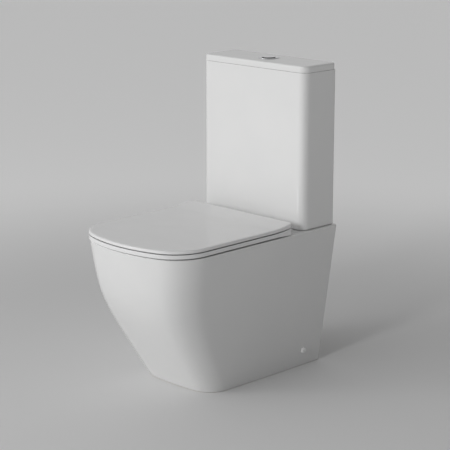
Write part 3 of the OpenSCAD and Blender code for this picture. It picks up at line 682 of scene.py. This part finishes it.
GLAZE = glaze()
BISCUIT = biscuit()
SEAT = plastic("seat_urea", (0.81, 0.81, 0.81), 0.10, 0.15, 0.03, 700, 1.5, wave=0.10)
# the cap's white is brighter than the china: partly a whiter plastic, partly painted light to make the cap read
# brighter
CAP = plastic("cap_white", (0.93, 0.93, 0.925), 0.20, 0.30, 0.08)
VALVE = plastic("valve_white", (0.74, 0.75, 0.76), 0.28, 0.42, 0.12)
BLUE = plastic("valve_blue", (0.28, 0.42, 0.62), 0.28, 0.42, 0.12)
BRACKET = plastic("bracket_grey", (0.10, 0.10, 0.105), 0.45, 0.62, 0.3, 1100)
PAD = plastic("pad_silicone", (0.62, 0.62, 0.62), 0.4, 0.55, 0.1)
CHROME = metal("chrome", (0.80, 0.80, 0.81), 0.05, 0.12, 0.02)
STEEL = metal("steel_zinc", (0.58, 0.58, 0.57), 0.28, 0.45, 0.25, gs=500)
# black rubber for the rubber parts, also used as a painted dark reflection on the flush buttons' side rims
RUBBER_AND_PAINTED_SHADE = rubber()
SLOT_MAT = {"china": GLAZE, "seat_plastic": SEAT, "chrome": CHROME, "steel": STEEL, "rubber": RUBBER_AND_PAINTED_SHADE, "pad_silicone": PAD,
            "valve_white": VALVE, "valve_blue": BLUE, "bracket_plastic": BRACKET, "cap_plastic": CAP}


def give(ob, m, body, slot, *nodes):
    ob.data.materials.clear(); ob.data.materials.append(m)
    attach(ob, body)
    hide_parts(*nodes)
    return ob


# ------------------------------------------------------------------ build
pan = dress(build_pan())
give(pan, GLAZE, "root", "china", "pan", "bowl", "trapway", "flush_duct")
pan.data.materials.append(BISCUIT)


def unglazed(ob):
    """Inside the skirt and under the foot the china is left bare."""
    zz = np.arange(0.0, 401.0, 20.0); ref = np.linspace(-math.pi, math.pi, 361); table = []
    for z in zz:
        o = pan_outline(z, 0.0); th = np.arctan2(o[:, 1] - 60, o[:, 0]); r = np.hypot(o[:, 0], o[:, 1] - 60)
        k = np.argsort(th)
        table.append(np.interp(ref, th[k], r[k], period=2*math.pi))
    table = np.array(table)
    for f in ob.data.polygons:
        x, y, z = (v/MM for v in f.center)
        if z < 2.0 and f.normal.z < -0.5:
            f.material_index = 1
            continue
        if z > 379.0:
            continue
        th = math.atan2(y - 60, x); r = math.hypot(x, y - 60)
        k = min(max(z/20, 0), 19.999); i = int(k); w = k - i
        outer = float(np.interp(th, ref, table[i]*(1 - w) + table[i + 1]*w))
        if r > outer - 7 or y > 300:
            continue
        if z > 112:
            a, b, yc = (float(pchip(BOWL[:, 0], BOWL[:, k], max(z, 118.0))) for k in (1, 2, 3))
            if abs(x/(a + 4))**2.5 + abs((y - yc)/(b + 4))**2.5 < 1:
                continue
        f.material_index = 1


unglazed(pan)

tank = dress(build_tank())
give(tank, GLAZE, "root", "china", "cistern_tank")
clid = dress(build_cistern_lid())
give(clid, GLAZE, "cistern_cover", "china", "cistern_lid")
slid = dress(build_seat_lid())
give(slid, SEAT, "lid", "seat_plastic", "seat_lid")
sring = dress(build_seat_ring())
give(sring, SEAT, "ring", "seat_plastic", "seat_ring")
bez = dress(build_bezel(), 40)
give(bez, CHROME, "cistern_cover", "chrome", "button_bezel")
fb = dress(build_button("full_button", -2.6, 30), 40)
give(fb, CHROME, "full_button", "chrome", "full_flush_button")
hb = dress(build_button("half_button", -30, -3.4), 40)
give(hb, CHROME, "half_button", "chrome", "half_flush_button")
for b in (fb, hb):
    # painted reflection: the side rim under the chromed top gets the black rubber material, standing in for the dark
    # reflection seen on it
    b.data.materials.append(RUBBER_AND_PAINTED_SHADE)
    for f in b.data.polygons:
        if abs(f.normal.z) < 0.6 and f.center.z > (TOP + 0.1)*MM and f.center.z < (TOP + 2.9)*MM and math.hypot(f.center.x, f.center.y - CIS_Y*MM) > 17.2*MM:
            f.material_index = 1
caps = [dress(build_cap(s), 40) for s in (-1, 1)]
for c in caps:
    give(c, CAP, "root", "cap_plastic", "side_caps")

SLOT_OF = {p["node"]: p["material_slot"] for p in frame["record"]["subparts"]}
for name, ob in NODES.items():
    if ob.hide_render:
        continue
    m = SLOT_MAT[SLOT_OF[name]]
    if len(ob.material_slots) == 0:
        ob.data.materials.append(m)
    else:
        for k in range(len(ob.material_slots)):
            ob.material_slots[k].material = m

# ------------------------------------------------------------------ stage and light
floor = make("floor", [(-40000, -40000, 0), (40000, -40000, 0), (40000, 40000, 0), (-40000, 40000, 0)], [(0, 1, 2, 3)])
# painted light: the floor goes from 0.76 near the object to 0.95 beyond 2.6 m and glows up to 0.10 further out, as
# painted shade near the object and painted light on the far floor
fm, nt, b = mat("floor_paint", (0.8, 0.8, 0.8), 0.8, ior=1.2)
fc = nt.nodes.new("ShaderNodeTexCoord")
fl = nt.nodes.new("ShaderNodeVectorMath"); fl.operation = "LENGTH"
nt.links.new(fc.outputs["Object"], fl.inputs[0])
fr = nt.nodes.new("ShaderNodeMapRange"); fr.interpolation_type = "SMOOTHSTEP"
fr.inputs["From Min"].default_value = 0.8; fr.inputs["From Max"].default_value = 2.6
nt.links.new(fl.outputs["Value"], fr.inputs["Value"])
tint(nt, b, fr.outputs["Result"], (0.76, 0.76, 0.76), (0.95, 0.95, 0.95), 0.0, 1.0)
b.inputs["Emission Color"].default_value = (1, 1, 1, 1)
nt.links.new(rng(nt, fr.outputs["Result"], 0.0, 0.10, 0.0, 1.0), b.inputs["Emission Strength"])
floor.data.materials.append(fm)

world = bpy.data.worlds.new("studio"); scene.world = world
world.use_nodes = True
bg = world.node_tree.nodes["Background"]
wt = world.node_tree
tc = wt.nodes.new("ShaderNodeTexCoord")


def lobe(direction, amount, k):
    """A soft source in one direction: amount * exp(k * (cos - 1))."""
    d = wt.nodes.new("ShaderNodeVectorMath"); d.operation = "DOT_PRODUCT"
    d.inputs[1].default_value = Vector(direction).normalized()
    wt.links.new(tc.outputs["Generated"], d.inputs[0])
    a = wt.nodes.new("ShaderNodeMath"); a.operation = "MULTIPLY_ADD"
    a.inputs[1].default_value = k; a.inputs[2].default_value = -k
    wt.links.new(d.outputs["Value"], a.inputs[0])
    x = wt.nodes.new("ShaderNodeMath"); x.operation = "EXPONENT"
    wt.links.new(a.outputs[0], x.inputs[0])
    m = wt.nodes.new("ShaderNodeMath"); m.operation = "MULTIPLY"
    m.inputs[1].default_value = amount
    wt.links.new(x.outputs[0], m.inputs[0])
    return m.outputs[0]


def total(*parts):
    out = parts[0]
    for p in parts[1:]:
        s = wt.nodes.new("ShaderNodeMath"); s.operation = "ADD"
        wt.links.new(out, s.inputs[0])
        if isinstance(p, float):
            s.inputs[1].default_value = p
        else:
            wt.links.new(p, s.inputs[1])
        out = s.outputs[0]
    return out


def polar(az, el):
    a, e = math.radians(az), math.radians(el)
    return (math.cos(e)*math.cos(a), math.cos(e)*math.sin(a), math.sin(e))


bg.inputs["Color"].default_value = (1, 1, 1, 1)
wt.links.new(total(lobe(polar(-112, 20), 1.30, 6.0), lobe(polar(140, 12), 0.42, 2.5), lobe(polar(-45, 20), -0.17, 6.0),
                   lobe(polar(15, 2), 0.17, 6.0), lobe((0, 0, 1), 0.07, 2.0), 0.135), bg.inputs["Strength"])


def lamp(name, az, el, dist, size, energy, glossy=True):
    L = bpy.data.lights.new(name, "AREA"); L.shape = "DISK"; L.size = size; L.energy = energy
    o = bpy.data.objects.new(name, L); scene.collection.objects.link(o)
    o.location = Vector(polar(az, el))*dist + Vector((0, 0, 0.4))
    o.visible_glossy = glossy
    o.rotation_euler = (Vector((0, 0, 0.4)) - o.location).to_track_quat("-Z", "Y").to_euler()


lamp("key", -120, 14, 4.2, 1.2, 20.0)
lamp("side", -78, 20, 4.2, 0.8, 36.0, False)

scene.view_settings.view_transform = "Standard"
